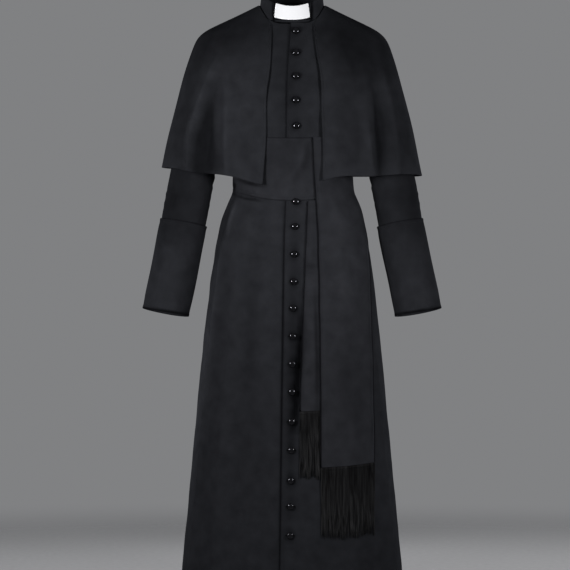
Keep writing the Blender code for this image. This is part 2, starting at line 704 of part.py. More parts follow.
def tail_point(table, s, level):
    level -= TAIL_SLOPE * s * max(0.0, 1.0 + level - table[-1][0])
    x, stand = read_table(table, level, 1), read_table(table, level, 2)
    start = phi_at_x(level, x)
    end = arc_phi(level, start, TAIL_WIDTH)
    phi = lerp(start, end, s)
    return body_point(phi, level, stand + lap_at_phi(phi, level))


def make_tails():
    for name, fringe_name, table, drop, phase in TAILS:
        def skin(s, level, table=table):
            return tail_point(table, s, level)
        levels = [row[0] for row in table]
        cloth_wall(name, SASH, skin, spread(0.0, 1.0, 6), levels, (0, 0, 0, SEAM), flip=-1.0)
        make_fringe(fringe_name, table, drop, phase)


def skirt_below(point, z, stand):
    """Point straight below, at height z, that stands off the skirt."""
    level = level_at_height(z)
    phi = phi_at_x(level, point.x)
    below = body_point(phi, level, stand + lap_at_phi(phi, level))
    return Vector((point.x, min(point.y, below.y), z))


def make_fringe(name, table, drop, phase):
    """Backing strip under the tail's edge with strands drawn down out of its lower rim."""
    end, stand = table[-1][0], table[-1][2]
    cells = 2 * STRANDS - 1
    edge = [tail_point(table, i / cells, end) for i in range(cells + 1)]
    mesh = bmesh.new()
    grid = []
    for i, point in enumerate(edge):
        along = (edge[min(cells, i + 1)] - edge[max(0, i - 1)]).normalized()
        inward = Vector((-along.y, along.x, 0.0)).normalized() * WALL
        high = point - Vector((0.0, 0.0, SEAM))
        low = skirt_below(point, point.z - STRIP_HEIGHT, stand)
        grid.append([mesh.verts.new(p) for p in (high, high + inward, low + inward, low)])
    floor = []
    for one, two in zip(grid, grid[1:]):
        for k in range(4):
            after = (k + 1) % 4
            face = mesh.faces.new([one[k], one[after], two[after], two[k]])
            if k == 2:
                floor.append(face)
    mesh.faces.new(grid[0])
    mesh.faces.new(grid[-1][::-1])
    bmesh.ops.recalc_face_normals(mesh, faces=mesh.faces)
    for index, face in enumerate(floor[::2]):
        draw_strand(mesh, face, index, stand, drop, phase)
    finish(name, FRINGE, mesh)


def draw_strand(mesh, face, index, stand, drop, phase):
    """Extrude one cell of the strip down the skirt as a strand of four sides, with a slight sway."""
    drop += STRAND_UNEVEN * math.sin(2.3 * index + phase)
    for share in (0.5, 1.0):
        middle = face.calc_center_median()
        target = skirt_below(middle, middle.z - drop / 2.0, stand)
        target.x += STRAND_SWAY * math.sin(0.61 * index + phase + 2.0 * share)
        face = bmesh.ops.extrude_discrete_faces(mesh, faces=[face])["faces"][0]
        bmesh.ops.translate(mesh, verts=face.verts, vec=target - middle)


def level_at_height(z):
    """Body level of a height on the front line."""
    if z > BODY[0][1]:
        return -1.0
    for index, (low, high) in enumerate(zip(BODY, BODY[1:])):
        if z >= high[1]:
            return index + (z - low[1]) / (high[1] - low[1])
    return float(LAST)


def halve(function, low, high):
    """Argument between low and high where a rising function passes 0."""
    for _ in range(24):
        middle = (low + high) / 2.0
        low, high = (middle, high) if function(middle) < 0.0 else (low, middle)
    return (low + high) / 2.0


def front_skin(x, z):
    """Point of the overlapping front at x and z, and the direction out of it."""
    def share(level):
        return halve(lambda s: left_front(s, level).x - x, 0.0, 0.6)

    level = halve(lambda at: z - left_front(share(at), at).z, -1.0, float(LAST))
    s = share(level)
    step_s, step_level = 0.02, 0.05
    across = left_front(s + step_s, level) - left_front(s - step_s, level)
    down = left_front(s, level + step_level) - left_front(s, level - step_level)
    return left_front(s, level), down.cross(across).normalized()


def make_buttons():
    for index, z in enumerate(BUTTONS):
        level = level_at_height(z)
        x = read_table(LAP_EDGE, level, 1) + BUTTON_FROM_EDGE
        point, normal = front_skin(x, z)
        lift = BUTTON_DEPTH + BUTTON_GAP
        if index == SASH_BUTTON:
            lift += STEP_OUT
        mesh = bmesh.new()
        bmesh.ops.create_uvsphere(mesh, u_segments=10, v_segments=6, radius=1.0)
        for vert in mesh.verts:
            vert.co = Vector((vert.co.x * BUTTON_RADIUS, vert.co.y * BUTTON_RADIUS, vert.co.z * BUTTON_DEPTH))
        turn = normal.to_track_quat("Z", "Y").to_matrix()
        for vert in mesh.verts:
            vert.co = turn @ vert.co + point + normal * lift
        finish(f"button_{index + 1:02d}", GLOSS, mesh)


for old in list(bpy.data.objects):
    bpy.data.objects.remove(old, do_unlink=True)
PARTS = bpy.data.collections.new("cassock")
bpy.context.scene.collection.children.link(PARTS)

make_fronts()
make_sides()
make_backs()
make_sleeves()
make_cape()
make_collar()
make_sash()
make_tails()
make_buttons()
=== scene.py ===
"""Looks of the cassock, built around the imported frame.

Metres, +Z up, the front faces -Y and the wearer's left is +X, as in the CAD. Each piece of cloth is a thin
closed shell on the form of its own solid: the solid's faces are subdivided, then a field of soft folds moves
the points out or in. One field serves everything that lies on the body, so the layers move together.
"""
import math

import bmesh
import bpy
import numpy as np
from mathutils import Matrix, Vector
from mathutils.bvhtree import BVHTree


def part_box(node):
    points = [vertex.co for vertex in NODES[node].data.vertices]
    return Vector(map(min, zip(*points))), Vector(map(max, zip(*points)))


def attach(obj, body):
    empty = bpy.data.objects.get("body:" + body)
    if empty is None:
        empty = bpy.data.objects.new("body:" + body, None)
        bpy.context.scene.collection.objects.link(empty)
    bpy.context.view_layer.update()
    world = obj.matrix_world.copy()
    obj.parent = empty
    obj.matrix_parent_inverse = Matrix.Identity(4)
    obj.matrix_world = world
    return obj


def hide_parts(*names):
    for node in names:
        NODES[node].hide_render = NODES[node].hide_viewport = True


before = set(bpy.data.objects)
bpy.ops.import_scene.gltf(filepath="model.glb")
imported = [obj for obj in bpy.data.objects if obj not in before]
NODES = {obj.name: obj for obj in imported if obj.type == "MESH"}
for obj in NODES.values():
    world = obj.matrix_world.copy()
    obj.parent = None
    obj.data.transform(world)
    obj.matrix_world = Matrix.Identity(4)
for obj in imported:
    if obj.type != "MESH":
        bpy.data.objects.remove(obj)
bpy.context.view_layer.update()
SIDES = {"left": 1.0, "right": -1.0}     # the wearer's sides and the sign of X there

# ---- the photograph's frame ----
FRAME_PIXELS = 570
PIXEL = 0.0024               # metres across a pixel at the plane y = 0
VIEW_DISTANCE = 7.0
VIEW_CENTRE = Vector((-0.0168, 0.0, -0.6672))
SENSOR = 36.0
FRONT_PLANE = -0.12          # depth of most of the cloth seen from the front

# ---- colours ----
RAMP_RANGE = (0.32, 0.68)    # stretch of a noise between its low and high colours
BAND_LENGTH = 0.314          # pitch of a wave texture at scale 1
NAP_SHARE = 0.5              # the nap's part in the unevenness of colour
NAP_ROUGHNESS = 0.06         # either way
PAINTED_SHADING_STRENGTH = 0.6          # share that a painted light of 1 lightens the cloth, or a painted shade of -1 darkens it
# painted shade along stitched edges, where shade falls at the steps between layers of cloth
EDGE_SHADE_RANGE = (0.25, 0.8)    # painted edge shade: the strength at which it begins to darken, and at which it is darkest
EDGE_SHADE_DEPTH = 0.9
EDGE_SHADE_COLOUR = (0.004, 0.004, 0.005, 1.0)
FRINGE_PAINTED_SHADING = (-0.75, 0.35)     # painted shade at the header and painted light at the ends
# painted shade on the buttonhole thread, black in itself, darkening it into a ring round the button
HOLE_PAINTED_SHADE = -1.3
BUTTON_SHADE = -0.9          # painted shadow round a button, where the button shades the cloth
BUTTON_SHADE_REACH = 0.0105

# ---- folds ----
SIDE_BLEND = 0.07            # depth over which the front gives way to the back
BODY_FLATNESS = 1.7          # how much wider than deep the body is where folds stand out
CREASE_END = 0.05            # where in its rise a crease begins, as a share of its length
CREASE_FALL = 0.7
WAVES = 9                    # plane waves in a ripple
WAVE_PITCH = (0.7, 1.6)      # shortest and longest, as shares of the ripple's wavelength
WAVE_PEAK = 1.4
RANDOM_TURN = 6.28           # range of a random phase
RIPPLE_SEED = 11
CALM_SHARE = 0.7             # how much less the body ripples at its sides
CALM_FROM = 0.12             # from this X outward
CALM_REACH = 0.1
ELBOW_X = 0.27               # the inside of the arm is nearer the body than this, at ELBOW_Z
ELBOW_Z = -0.5
ELBOW_SLOPE = 0.18
ELBOW_REACH = 0.08
CUFF_LIFT = 0.001            # how far a cuff is let out over its sleeve
TAB_EASE_TOP = 0.075         # how much narrower than its opening the tab is
TAB_EASE_FOOT = 0.03
TAB_LIFT = 0.001
TAB_CURVE = 0.0036

# ---- shells and their stitches ----
WELD = 1e-5                  # points nearer than this are one
SHELL_LEVELS = 3             # subdivisions of a solid's faces
RIM_ANGLE = math.radians(50.0)
RIM_CREASE = 0.5             # an edge of cloth is folded over, so it stays a little round
RIM_REACH = 0.0035           # a point nearer than this to a side or corner belongs to it
CORNER_ANGLE = math.radians(40.0)
UPWARD = 0.4                 # how far outward leans up, for pieces that lie on the shoulders
SEAMED = ("front", "side", "back")
SEAM_LAP = 0.0007            # how far a panel runs under its neighbour, so no light shows
SEAM_STEEP = 0.5             # a wall whose normal has a larger Z is no seam
SEAM_LEAST = 0.2             # least sum of its walls' normals that moves a point
STITCH_INSET = 0.0058        # top stitching from the cloth's edge
STITCH_LENGTH = 0.0026
STITCH_STEP = 0.0036
STITCH_RADIUS = 0.00028
STITCH_SINK = 0.0007         # how far a row of stitches draws the cloth in
STITCH_NEAR = 0.6            # mark of the row from which the cloth sinks
ROW_REACH = 1.6 * STITCH_INSET
ROW_CREASE = 0.35
ROW_MARK = 0.999             # least mark of a point on a row, after the subdivision

# ---- fringes ----
EDGE_REACH = 0.005           # half the width of tail that gives a point of its edge
EDGE_RISE = 0.003
HEADER_POINTS = 31
HEADER_HEIGHT = 0.006
HEADER_DEPTH = 0.002
HEADER_GAP = 0.0003
HEADER_INSET = 0.0014        # from the end of the node's box
STRAND_PITCH = 0.00155
STRAND_RADIUS = 0.0007
STRAND_TIP = 0.55            # radius at the tip, as a share
STRAND_SIDES = 6
STRAND_STEPS = 9
STRAND_SWAY = 0.0016
STRAND_WAVE = 3.0            # radians of sway along a strand
STRAND_JITTER = 0.0006
STRAND_SETTLE = 1.4          # how soon a strand reaches the stand-off of its end
STRAND_UNEVEN = 0.003
STRAND_PULL = 0.3            # how far towards its clump a strand's end is drawn
CLUMP_PITCH = 0.0095         # spacing of the clumps that the strands gather in
CLUMP_UNEVEN = 0.0022
CLUMP_BLUR = 0.002           # of the choice of the nearest clump
LAYER_DEPTH = 0.8 * STRAND_RADIUS    # of a layer from the middle of the header
LAYER_SHIFT = 0.25           # sideways, as a share of the pitch

# ---- buttons ----
BUTTON_RADIUS = 0.0077
BUTTON_RISE = 0.007
BUTTON_SEGMENTS = 36
BUTTON_LEVEL = 0.93          # how far a button turns from the cloth's slope to face ahead
BUTTON_CLEAR = 0.8           # part of its tilt that it clears the cloth by
BUTTON_MIDDLE = 0.6          # height of its middle, as a share of its rise
SHANK_RADIUS = 0.26          # as a share of the button's
DOME_RINGS = 11
DOME_BASE = 0.58             # height of the dome's foot, as a share of the rise
DOME_START, DOME_END = -14.0, 88.0    # degrees of the dome's arc
HOLE_REACH = 0.0112          # half the length of a worked buttonhole
HOLE_RISE = 0.0012
HOLE_THREAD = 0.0009
HOLE_LIFT = 0.0003           # of the thread's middle off the cloth
HOLE_STEPS = 24
HOLE_SIDES = 5

# ---- stage ----
WORLD_COLOUR = (0.8, 0.81, 0.83, 1.0)
WORLD_STRENGTH = 0.27
FLOOR_HEIGHT = -1.418
FLOOR_RADIUS = 14.0
FLOOR_SIDES = 96
FLOOR_FADE = (0.96, 3.2)     # radii between which it fades into the backdrop
LIGHT_AIM = Vector((0.0, 0.0, -0.38))


def lerp(a, b, t):
    return a + (b - a) * t


def smooth(t):
    t = np.clip(t, 0.0, 1.0)
    return t * t * (3.0 - 2.0 * t)


def seen(px, py, y=FRONT_PLANE):
    """X and Z of the point at depth y that the camera sees at a pixel."""
    scale = PIXEL * (VIEW_DISTANCE + y) / VIEW_DISTANCE
    middle = FRAME_PIXELS / 2.0
    return VIEW_CENTRE.x + (px - middle) * scale, VIEW_CENTRE.z - (py - middle) * scale


# ---- materials ----
def set_inputs(node, values):
    """Give a node's inputs numbers or colours, or link them to outputs of other nodes."""
    for name, value in values.items():
        if isinstance(value, bpy.types.NodeSocket):
            node.id_data.links.new(value, node.inputs[name])
        else:
            node.inputs[name].default_value = value


def add_node(tree, kind, inputs, **settings):
    node = tree.nodes.new("ShaderNode" + kind)
    for name, value in settings.items():
        setattr(node, name, value)
    set_inputs(node, inputs)
    return node


def new_material(name):
    """A material, its node tree, its shader and the outputs of its texture coordinates."""
    material = bpy.data.materials.new(name)
    material.use_nodes = True
    tree = material.node_tree
    return material, tree, tree.nodes["Principled BSDF"], tree.nodes.new("ShaderNodeTexCoord").outputs


def noise(tree, place, scale, detail=2.0):
    return add_node(tree, "TexNoise", {"Vector": place, "Scale": scale, "Detail": detail}).outputs["Fac"]


def bands(tree, place, direction, **values):
    return add_node(tree, "TexWave", {"Vector": place, **values}, bands_direction=direction).outputs["Fac"]


def stretched(tree, place, scale):
    return add_node(tree, "Mapping", {"Vector": place, "Scale": scale}).outputs["Vector"]


def calculated(tree, operation, *values):
    return add_node(tree, "Math", dict(enumerate(values)), operation=operation).outputs[0]


def ranged(tree, value, low, high, start=0.0, stop=1.0, course="LINEAR"):
    """A value that goes from low to high while another one goes from start to stop."""
    limits = {"From Min": start, "From Max": stop, "To Min": low, "To Max": high}
    return add_node(tree, "MapRange", {"Value": value, **limits}, interpolation_type=course).outputs["Result"]


def colour_ramp(tree, factor, low, high):
    node = add_node(tree, "ValToRGB", {"Fac": factor})
    for stop, place, colour in zip(node.color_ramp.elements, RAMP_RANGE, (low, high)):
        stop.position = place
        stop.color = (*colour, 1.0)
    return node.outputs["Color"]


def bump(tree, height, distance, strength=1.0, **below):
    inputs = {"Height": height, "Distance": distance, "Strength": strength, **below}
    return add_node(tree, "Bump", inputs).outputs["Normal"]


def painted(tree, name):
    """A value that the mesh holds for each of its points."""
    return add_node(tree, "Attribute", {}, attribute_name=name).outputs["Fac"]


def with_painted_shading(tree, colour):
    """A colour made lighter or darker by painted light and shade that the mesh holds for each point."""
    share = calculated(tree, "MULTIPLY_ADD", painted(tree, "painted_shading"), PAINTED_SHADING_STRENGTH, 1.0)
    return add_node(tree, "VectorMath", {0: colour, "Scale": share}, operation="SCALE").outputs[0]


def cloth_material(name, twill, thread, low, high, roughness):
    """Woven cloth: threads of a given width across the cut, a fine nap and a slow drift of shade. Its colour
    also holds painted shade along stitched edges and painted light and shade from the mesh.
    """
    material, tree, shader, place = new_material(name)
    drift = noise(tree, place["Object"], 34.0, 6.0)
    nap = noise(tree, place["UV"], 1400.0)
    weave = bands(tree, place["UV"], twill,
                  **{"Scale": BAND_LENGTH / thread, "Distortion": 0.6, "Detail Scale": 1.5})
    uneven = calculated(tree, "MULTIPLY_ADD", nap, NAP_SHARE,
                        calculated(tree, "MULTIPLY", drift, 1.0 - NAP_SHARE))
    # painted shade along stitched edges mixes the colour towards near black
    shade = add_node(tree, "MixRGB", {
        "Fac": ranged(tree, painted(tree, "painted_edge_shade"), 0.0, EDGE_SHADE_DEPTH, *EDGE_SHADE_RANGE),
        "Color1": with_painted_shading(tree, colour_ramp(tree, uneven, low, high)),
        "Color2": EDGE_SHADE_COLOUR,
    })
    threads = bump(tree, weave, 0.00018, 0.55)
    fibres = bump(tree, nap, 0.00025, 0.5, Normal=threads)
    set_inputs(shader, {
        "Base Color": shade.outputs["Color"],
        "Roughness": ranged(tree, nap, roughness - NAP_ROUGHNESS, roughness + NAP_ROUGHNESS),
        "Normal": bump(tree, drift, 0.0024, 0.5, Normal=fibres),
        "Specular IOR Level": 0.0,
    })
    return material


def fringe_material():
    material, tree, shader, place = new_material("fringe_yarn")
    yarn = noise(tree, stretched(tree, place["Object"], (1.0, 1.0, 0.05)), 230.0, 3.0)
    set_inputs(shader, {
        "Base Color": with_painted_shading(tree, colour_ramp(tree, yarn, (0.007, 0.007, 0.0074), (0.033, 0.033, 0.0342))),
        "Normal": bump(tree, bands(tree, place["UV"], "DIAGONAL", Scale=180.0), 0.0002),
        "Roughness": 0.8,
        "Specular IOR Level": 0.02,
    })
    return material


def thread_material():
    material, tree, shader, place = new_material("sewing_thread")
    lint = noise(tree, place["Object"], 900.0)
    set_inputs(shader, {
        "Base Color": colour_ramp(tree, lint, (0.011, 0.011, 0.013), (0.024, 0.024, 0.028)),
        "Roughness": 0.6,
        "Specular IOR Level": 0.03,
    })
    return material


def button_material():
    material, tree, shader, place = new_material("polished_button")
    wear = noise(tree, place["Object"], 420.0, 4.0)
    set_inputs(shader, {
        "Base Color": colour_ramp(tree, wear, (0.026, 0.026, 0.029), (0.044, 0.044, 0.049)),
        "Roughness": ranged(tree, wear, 0.04, 0.08),
        "Metallic": 1.0,
        "Specular Tint": (0.05, 0.05, 0.06, 1.0),
    })
    return material


def tab_material():
    material, tree, shader, place = new_material("white_tab")
    grain = noise(tree, place["Object"], 700.0)
    set_inputs(shader, {
        "Base Color": colour_ramp(tree, grain, (0.93, 0.93, 0.95), (0.97, 0.97, 0.99)),
        "Normal": bump(tree, grain, 0.0001, 0.4),
        "Roughness": 0.42,
    })
    return material


def floor_material():
    """Pale matte grey that fades into the backdrop."""
    material, tree, shader, place = new_material("pale_floor")
    near, far = FLOOR_FADE
    ball = add_node(tree, "TexGradient", {"Vector": stretched(tree, place["Object"], (1.0 / far,) * 3)},
                    gradient_type="SPHERICAL")
    grain = noise(tree, place["Object"], 60.0)
    set_inputs(shader, {
        "Base Color": colour_ramp(tree, grain, (0.34, 0.34, 0.35), (0.38, 0.38, 0.39)),
        "Roughness": 0.85,
        "Alpha": ranged(tree, ball.outputs["Fac"], 0.0, 1.0, stop=1.0 - near / far, course="SMOOTHSTEP"),
    })
    return material


MATERIALS = {
    # slot: material
    "wool": cloth_material("wool_twill", "DIAGONAL", 0.0011, (0.014, 0.0146, 0.0169),
                           (0.0246, 0.0256, 0.0296), 0.58),
    "sash": cloth_material("sash_faille", "Y", 0.0009, (0.0162, 0.0168, 0.0195),
                           (0.0286, 0.0295, 0.0341), 0.5),
    "fringe": fringe_material(),
    "button": button_material(),
    "tab": tab_material(),
}
THREAD = thread_material()


# ---- fields that move the cloth ----
def path_weight(x, z, path, width):
    """1 on a path in the X-Z plane, falling off softly across it and towards its two ends."""
    best = np.full(x.shape, np.inf)
    share = np.zeros(x.shape)
    lengths = [math.dist(a, b) for a, b in zip(path, path[1:])]
    gone = 0.0
    for (ax, az), (bx, bz), length in zip(path, path[1:], lengths):
        t = np.clip(((x - ax) * (bx - ax) + (z - az) * (bz - az)) / length ** 2, 0.0, 1.0)
        far = np.hypot(x - lerp(ax, bx, t), z - lerp(az, bz, t))
        nearer = far < best
        best = np.where(nearer, far, best)
        share = np.where(nearer, (gone + t * length) / sum(lengths), share)
        gone += length
    along = np.sin(math.pi * lerp(CREASE_END, 1.0 - CREASE_END, share)) ** CREASE_FALL
    return np.exp(-(best / width) ** 2) * along


def outward_from(x, y):
    """Horizontal unit vectors along x and y."""
    way = np.stack([x, y, np.zeros(len(x))], axis=1)
    return way / np.maximum(np.linalg.norm(way, axis=1, keepdims=True), 1e-9)


def body_outward(points):
    """Horizontal direction away from the body's axis, flatter than a circle."""
    return outward_from(points[:, 0] / BODY_FLATNESS, points[:, 1])


def in_front(y):
    """1 on the front of the garment and 0 on its back."""
    return smooth(0.5 - y / SIDE_BLEND)


def ripple(points, wavelength, stretch, seed):
    """Sum of plane waves, mostly between -1 and 1: slow unevenness, drawn out along Z by stretch."""
    generator = np.random.default_rng(seed)
    total = np.zeros(len(points))
    for _ in range(WAVES):
        way = generator.normal(size=3)
        way /= np.linalg.norm(way)
        way[2] /= stretch
        pitch = wavelength * generator.uniform(*WAVE_PITCH)
        total += np.sin(points @ way * (math.tau / pitch) + generator.uniform(0.0, RANDOM_TURN))
    return total / math.sqrt(WAVES) / WAVE_PEAK


RIPPLES = {
    # name: height, wavelength, stretch, Z below which it shows, drop over which it grows
    "skirt": (0.0026, 0.1, 4.0, -0.3, 0.5),
    "body": (0.0022, 0.055, 1.4, -0.1, 0.1),
    "cape": (0.0022, 0.09, 2.5, -0.08, 0.15),
    "sleeve": (0.0013, 0.08, 2.0, -0.1, 0.08),
}


def unevenness(points, name):
    """Height of a cloth's slow ripple, which grows as the cloth hangs down."""
    height, wavelength, stretch, top, drop = RIPPLES[name]
    seed = RIPPLE_SEED + list(RIPPLES).index(name)
    return height * smooth((top - points[:, 2]) / drop) * ripple(points, wavelength, stretch, seed)


# Soft creases, by the cloth and its side. A trough's height is negative, the width is half of it, and the
# tone is painted light or shade: how much lighter or darker the cloth's colour is painted there, shade in
# troughs, gaps, under edges and on sides turned from the lamps, light on ridges. A row of height 0 only
# paints. A path is in pixels of the photograph on the front, and in X and Z in metres on the back.
CREASES = {}
CREASES["body", "front"] = [
    # height, width, tone as painted light or shade, path
    (-0.003, 0.009, -0.3, ((296, 181), (303, 172), (309, 160), (311, 146), (310, 137))),
    (0.002, 0.008, 0.2, ((291, 178), (299, 166), (303, 152), (303, 142))),
    (-0.0014, 0.007, -0.3, ((241, 192), (254, 197), (270, 200))),
    (0.0014, 0.006, 0.1, ((238, 186), (254, 191), (270, 194))),
    (-0.0012, 0.006, -0.2, ((243, 181), (256, 186), (268, 188))),
    (-0.01, 0.007, -0.6, ((303, 290), (301, 330), (299, 365), (297, 400), (295, 430))),
    (0.0035, 0.005, 0.7, ((236, 202), (230, 218), (226, 236))),
    (-0.003, 0.008, -0.4, ((231, 200), (225, 218), (220, 236), (214, 262))),
    (-0.0016, 0.016, -0.2, ((262, 215), (256, 260), (250, 320), (246, 400))),
    (0.0018, 0.018, 0.1, ((272, 230), (270, 290), (266, 350), (262, 430))),
    (0.0016, 0.02, 0.1, ((240, 300), (236, 360), (233, 430), (230, 520))),
    (-0.0016, 0.018, -0.2, ((219, 300), (212, 370), (206, 440), (200, 530))),
    (0.0, 0.04, -0.55, ((288, 20), (288, 60), (290, 100), (290, 150))),
    (0.0, 0.06, -0.3, ((250, 290), (248, 360), (246, 430), (244, 500))),
    (0.0, 0.045, -0.35, ((250, 160), (280, 162), (308, 165))),
    (-0.0025, 0.006, -0.5, ((304, 264), (311, 267), (318, 265))),
    (0.002, 0.008, 0.2, ((305, 284), (312, 288), (317, 284))),
    (0.002, 0.008, 0.2, ((303, 352), (309, 355), (316, 352))),
    (-0.002, 0.006, -0.4, ((303, 366), (309, 369), (316, 366))),
    (0.0, 0.01, 0.8, ((218, 240), (212, 290), (206, 340), (201, 385), (192, 450), (184, 520))),
    (0.0, 0.04, 0.25, ((372, 430), (378, 470), (384, 520))),
    (0.0, 0.014, -0.45, ((295, 200), (293, 280), (291, 360), (288, 460))),
    (-0.0015, 0.012, -0.4, ((297, 310), (294, 380), (291, 440), (288, 530))),
    (0.0, 0.01, -0.8, ((303, 318), (301, 345), (299, 370), (297, 395), (295, 430))),
    (0.0, 0.005, -0.9, ((315, 292), (316, 325), (317, 365), (317, 412))),
    (0.0, 0.0032, -0.9, ((283.5, 200), (283.2, 320), (281.6, 408), (279.9, 572))),
    (0.0, 0.03, 0.25, ((340, 190), (344, 250), (348, 320))),
    (0.0, 0.0045, -1.3, ((231, 176), (234, 184), (233, 194))),
    (0.0, 0.0035, -1.0, ((234, 178), (249, 183), (266, 186))),
    (0.0, 0.003, -1.0, ((230, 192), (244, 198), (262, 201))),
    (0.0, 0.03, -0.3, ((345, 330), (345, 380), (345, 440))),
]
CREASES["cape", "front"] = [
    (0.009, 0.011, 0.5, ((219, 52), (210, 76), (200, 104), (191, 132), (186, 158))),
    (-0.009, 0.014, -1.1, ((211, 84), (207, 112), (205, 140), (203, 178))),
    (0.0, 0.026, -0.9, ((206, 120), (202, 140), (199, 160), (197, 185))),
    (0.008, 0.009, 0.4, ((226, 90), (226, 120), (226, 145), (228, 180))),
    (-0.0012, 0.01, -0.2, ((240, 130), (244, 150), (250, 170))),
    (-0.008, 0.01, -0.7, ((377, 90), (380, 120), (382, 145), (383, 178))),
    (0.004, 0.01, 0.2, ((366, 112), (370, 135), (372, 158))),
    (-0.0012, 0.009, -0.2, ((356, 110), (358, 138), (358, 170))),
    (0.0055, 0.011, 0.2, ((385, 80), (392, 112), (398, 145), (402, 172))),
    (-0.0012, 0.012, -0.2, ((340, 30), (350, 52), (356, 78))),
    (0.0, 0.06, -0.8, ((265, 12), (240, 30), (205, 44), (175, 70))),
    (0.0, 0.075, -1.0, ((322, 12), (342, 34), (368, 54), (388, 85))),
    (-0.008, 0.022, 0.0, ((266, 15), (266, 45), (265, 78))),
    (-0.008, 0.022, 0.0, ((320, 15), (320, 45), (321, 78))),
    (-0.011, 0.026, 0.0, ((264, 120), (263, 150), (262, 215))),
    (-0.011, 0.026, 0.0, ((323, 120), (324, 150), (325, 215))),
    (0.0, 0.04, -0.4, ((345, 80), (350, 120), (354, 175))),
    (0.0, 0.022, -0.8, ((210, 138), (212, 155), (214, 176))),
    (0.0, 0.024, -0.5, ((188, 80), (182, 120), (178, 168))),
    (0.0, 0.035, -0.6, ((390, 100), (398, 140), (403, 172))),
    (0.0, 0.016, -0.5, ((380, 110), (383, 145), (385, 178))),
]
CREASES["cape", "back"] = [
    (0.0032, 0.012, 0.3, ((0.03, -0.12), (0.04, -0.22), (0.055, -0.38))),
    (-0.004, 0.013, -0.6, ((0.085, -0.1), (0.11, -0.22), (0.135, -0.4))),
    (0.003, 0.012, 0.3, ((-0.1, -0.12), (-0.12, -0.24), (-0.15, -0.4))),
    (-0.0035, 0.012, -0.5, ((-0.04, -0.14), (-0.055, -0.26), (-0.07, -0.4))),
    (0.0, 0.06, -0.7, ((-0.04, 0.03), (-0.14, -0.01), (-0.24, -0.08))),
    (0.0, 0.06, -0.7, ((0.04, 0.03), (0.14, -0.01), (0.24, -0.08))),
]
CREASES["sleeve", "back"] = [
    (0.0, 0.06, -0.6, ((-0.25, -0.35), (-0.26, -0.45), (-0.27, -0.52))),
    (0.0, 0.06, -0.6, ((0.25, -0.35), (0.26, -0.45), (0.27, -0.52))),
]
CREASES["body", "back"] = [
    (-0.002, 0.01, -0.3, ((0.05, -0.31), (0.06, -0.34), (0.04, -0.37))),
    (-0.003, 0.016, -0.3, ((0.07, -0.5), (0.09, -0.8), (0.11, -1.2))),
    (0.003, 0.018, 0.2, ((0.12, -0.45), (0.15, -0.8), (0.18, -1.25))),
    (-0.003, 0.016, -0.3, ((-0.06, -0.55), (-0.085, -0.9), (-0.1, -1.25))),
    (0.003, 0.018, 0.2, ((-0.11, -0.45), (-0.13, -0.8), (-0.16, -1.25))),
    (0.0016, 0.01, 0.2, ((-0.08, -0.33), (-0.05, -0.35), (-0.02, -0.36))),
]
CREASES["collar", "front"] = [
    (0.0, 0.0035, -1.6, ((273, -4), (273, 10), (274, 26))),
    (0.0, 0.0035, -1.6, ((312, -4), (312, 10), (311, 26))),
    (0.0, 0.004, -1.6, ((266, 18), (280, 21), (292, 22), (304, 21), (318, 18))),
]
CREASES["sleeve", "front"] = [
    (0.0, 0.003, -1.6, ((128, 305), (150, 309), (187, 315), (200, 318))),
    (0.0, 0.003, -1.6, ((456, 305), (434, 309), (397, 315), (384, 318))),
    (0.0, 0.007, -1.0, ((214, 170), (211, 198), (206, 224))),
    (0.0, 0.007, -1.0, ((369, 172), (374, 198), (380, 224))),
    (0.0, 0.06, -0.85, ((178, 150), (176, 190), (172, 225), (170, 250))),
    (0.0, 0.06, -0.75, ((404, 150), (408, 190), (412, 225), (414, 250))),
]
HEIGHT, WIDTH, PAINTED_SHADING, PATH = range(4)


def crease_sum(points, cloth_name, column):
    """Height, or painted light and shade, of all the creases of a cloth at each point."""
    x, y, z = points.T
    total = np.zeros(len(points))
    for (name, side), rows in CREASES.items():
        if name == cloth_name:
            near = in_front(y) if side == "front" else 1.0 - in_front(y)
            for row in rows:
                path = [seen(*place) for place in row[PATH]] if side == "front" else row[PATH]
                total += near * row[column] * path_weight(x, z, path, row[WIDTH])
    return total


def button_shade(points):
    """Painted shadow on the cloth round each button."""
    total = np.zeros(len(points))
    for node in NODES:
        if node.startswith("button_"):
            middle = sum(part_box(node), Vector()) / 2.0
            away = np.hypot(points[:, 0] - middle.x, points[:, 2] - middle.z)
            total += BUTTON_SHADE * np.exp(-(away / BUTTON_SHADE_REACH) ** 2)
    return total


def body_field(points):
    """Folds of the body panels, and of the sash and tails that lie on them."""
    calm = 1.0 - CALM_SHARE * smooth((np.abs(points[:, 0]) - CALM_FROM) / CALM_REACH)
    height = crease_sum(points, "body", HEIGHT)
    height += calm * (unevenness(points, "skirt") + unevenness(points, "body"))
    return body_outward(points) * height[:, None]


CAPE_HANG = [
    # where an edge hangs away from its cut: pixel, reach in X and Z, shift in X and Z
    ((266, 182), 0.05, 0.09, -0.01, -0.008),
    ((195, 170), 0.055, 0.06, 0.0, -0.0085),
    ((342, 180), 0.05, 0.07, 0.0, 0.011),
    ((320, 150), 0.03, 0.11, 0.0062, 0.0),
    ((318, 80), 0.03, 0.08, 0.005, 0.0),
]


def cape_field(points):
    """Flutes of the cape, and the way its front corners and its hem hang."""
    x, y, z = points.T
    height = crease_sum(points, "cape", HEIGHT) + unevenness(points, "cape")
    shift = body_outward(points) * height[:, None]
    for place, reach_x, reach_z, shift_x, shift_z in CAPE_HANG:
        middle_x, middle_z = seen(*place)
        near = in_front(y) * np.exp(-((x - middle_x) / reach_x) ** 2 - ((z - middle_z) / reach_z) ** 2)
        shift += near[:, None] * np.array((shift_x, 0.0, shift_z))
    return shift


